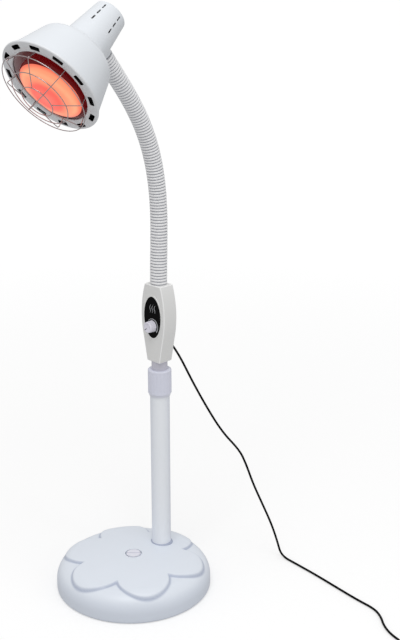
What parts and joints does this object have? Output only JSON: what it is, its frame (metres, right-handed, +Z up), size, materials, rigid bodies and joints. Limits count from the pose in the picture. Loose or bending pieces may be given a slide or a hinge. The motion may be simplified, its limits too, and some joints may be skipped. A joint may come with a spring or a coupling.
{
  "type": "infrared heat lamp",
  "caption": "Floor-standing infrared heat lamp: round weighted base with a petal relief, telescopic pole, dimmer box, gooseneck and a shaded red bulb behind a wire guard.",
  "frame": {"origin": "centre of the base's flat underside, on the floor", "axes": "+Z up, -Y the side that the dial and the lamp face, +X to the right seen from the front"},
  "size_m": [0.758, 0.5435, 1.1519],
  "materials": {
    "base_plastic": "satin",
    "sand": "loose dry fill",
    "cap_plastic": "satin",
    "seal_rubber": "matt",
    "pole_paint": "glossy powder coat",
    "zinc_steel": "zinc plated",
    "fitting_plastic": "satin",
    "collar_plastic": "satin",
    "box_plastic": "fine texture",
    "plate_black": "satin",
    "knob_white": "glossy",
    "dark_plastic": "matt",
    "board_laminate": "satin",
    "part_plastic": "satin",
    "neck_plastic": "satin",
    "shade_paint": "glossy powder coat",
    "washer_fibre": "matt",
    "ring_paint": "satin silver",
    "reflector_metal": "satin",
    "guard_chrome": "bright",
    "bulb_glass": "red dipped, frosted inside",
    "stem_glass": "clear",
    "tungsten": "glowing",
    "bulb_cap": "bright",
    "cap_insulator": "glassy",
    "contact_metal": "bright",
    "holder_ceramic": "glazed",
    "cord_pvc": "satin"
  },
  "bodies": {
    "base": {"base_shell": "base_plastic", "base_ballast": "sand", "filler_seal": "seal_rubber", "lower_pole": "pole_paint", "pole_foot_plug": "fitting_plastic", "base_bolt": "zinc_steel", "base_washer": "zinc_steel", "pole_fitting": "fitting_plastic"},
    "filler_cap": {"filler_cap": "cap_plastic"},
    "lock_collar": {"lock_collar": "collar_plastic"},
    "collet": {"collet": "fitting_plastic", "cord_tube": "cord_pvc", "cord_coil": "cord_pvc", "cord_tail": "cord_pvc", "plug_body": "cord_pvc", "plug_pins": "contact_metal"},
    "mast": {"upper_pole": "pole_paint", "pole_glide": "fitting_plastic", "box_front_shell": "box_plastic", "box_back_shell": "box_plastic", "box_screws": "zinc_steel", "dial_plate": "plate_black", "dimmer_body": "dark_plastic", "dimmer_nut": "zinc_steel", "dimmer_board": "board_laminate", "board_parts": "part_plastic", "gooseneck_base": "neck_plastic", "gooseneck_base_nut": "zinc_steel", "cord_strain_relief": "cord_pvc"},
    "dimmer": {"dimmer_knob": "knob_white", "dimmer_shaft": "zinc_steel"},
    "neck_1": {"gooseneck_segment_1": "neck_plastic"},
    "neck_2": {"gooseneck_segment_2": "neck_plastic"},
    "neck_3": {"gooseneck_segment_3": "neck_plastic"},
    "neck_4": {"gooseneck_segment_4": "neck_plastic"},
    "neck_5": {"gooseneck_segment_5": "neck_plastic"},
    "neck_6": {"gooseneck_segment_6": "neck_plastic"},
    "neck_7": {"gooseneck_segment_7": "neck_plastic"},
    "neck_8": {"gooseneck_segment_8": "neck_plastic", "swivel_nut": "zinc_steel"},
    "head": {"lamp_shade": "shade_paint", "swivel_washer": "washer_fibre", "rim_ring": "ring_paint", "reflector": "reflector_metal", "guard_outer_ring": "guard_chrome", "guard_middle_ring": "guard_chrome", "guard_inner_ring": "guard_chrome", "guard_spokes": "guard_chrome", "bulb_glass": "bulb_glass", "bulb_stem": "stem_glass", "bulb_filament": "tungsten", "bulb_cap": "bulb_cap", "bulb_insulator": "cap_insulator", "bulb_contact": "contact_metal", "lamp_holder": "holder_ceramic", "holder_shell": "contact_metal", "holder_tongue": "contact_metal", "holder_plate": "zinc_steel", "holder_screws": "zinc_steel"}
  },
  "joints": [
    {"name": "filler_cap_lift", "type": "slide", "parent": "base", "child": "filler_cap", "axis": [0, 0, 1], "range_m": [0, 0.03]},
    {"name": "collar_turn", "type": "hinge", "parent": "base", "child": "lock_collar", "pos_m": [0, 0.078, 0.42], "axis": [0, 0, 1], "range_deg": [0, 150]},
    {"name": "mast_swivel", "type": "hinge", "parent": "base", "child": "collet", "pos_m": [0, 0.078, 0.42], "axis": [0, 0, 1], "range_deg": [-90, 90]},
    {"name": "mast_slide", "type": "slide", "parent": "collet", "child": "mast", "axis": [0, 0, 1], "range_m": [0, 0.25]},
    {"name": "dimmer_turn", "type": "hinge", "parent": "mast", "child": "dimmer", "pos_m": [0, 0.055, 0.5385], "axis": [0, 1, 0], "range_deg": [0, 270]},
    {"name": "neck_bend_1", "type": "hinge", "parent": "mast", "child": "neck_1", "pos_m": [0, 0.078, 0.645], "axis": [0.9958, 0.0915, 0], "range_deg": [-10, 10]},
    {"name": "neck_bend_2", "type": "hinge", "parent": "neck_1", "child": "neck_2", "pos_m": [-0.0002, 0.0802, 0.70246], "axis": [0.9958, 0.0915, 0], "range_deg": [-10, 10]},
    {"name": "neck_bend_3", "type": "hinge", "parent": "neck_2", "child": "neck_3", "pos_m": [-0.00028, 0.0811, 0.75995], "axis": [0.9958, 0.0915, 0], "range_deg": [-10, 10]},
    {"name": "neck_bend_4", "type": "hinge", "parent": "neck_3", "child": "neck_4", "pos_m": [0.00014, 0.07651, 0.81727], "axis": [0.9958, 0.0915, 0], "range_deg": [-10, 10]},
    {"name": "neck_bend_5", "type": "hinge", "parent": "neck_4", "child": "neck_5", "pos_m": [0.00128, 0.06402, 0.87338], "axis": [0.9958, 0.0915, 0], "range_deg": [-10, 10]},
    {"name": "neck_bend_6", "type": "hinge", "parent": "neck_5", "child": "neck_6", "pos_m": [0.00331, 0.04201, 0.92646], "axis": [0.9958, 0.0915, 0], "range_deg": [-10, 10]},
    {"name": "neck_bend_7", "type": "hinge", "parent": "neck_6", "child": "neck_7", "pos_m": [0.00611, 0.0115, 0.97512], "axis": [0.9958, 0.0915, 0], "range_deg": [-10, 10]},
    {"name": "neck_bend_8", "type": "hinge", "parent": "neck_7", "child": "neck_8", "pos_m": [0.00939, -0.02415, 1.02012], "axis": [0.9958, 0.0915, 0], "range_deg": [-10, 10]},
    {"name": "head_swivel", "type": "hinge", "parent": "neck_8", "child": "head", "pos_m": [0.01257, -0.05884, 1.06164], "axis": [0.0588, -0.6401, 0.766], "range_deg": [-150, 150]}
  ]
}
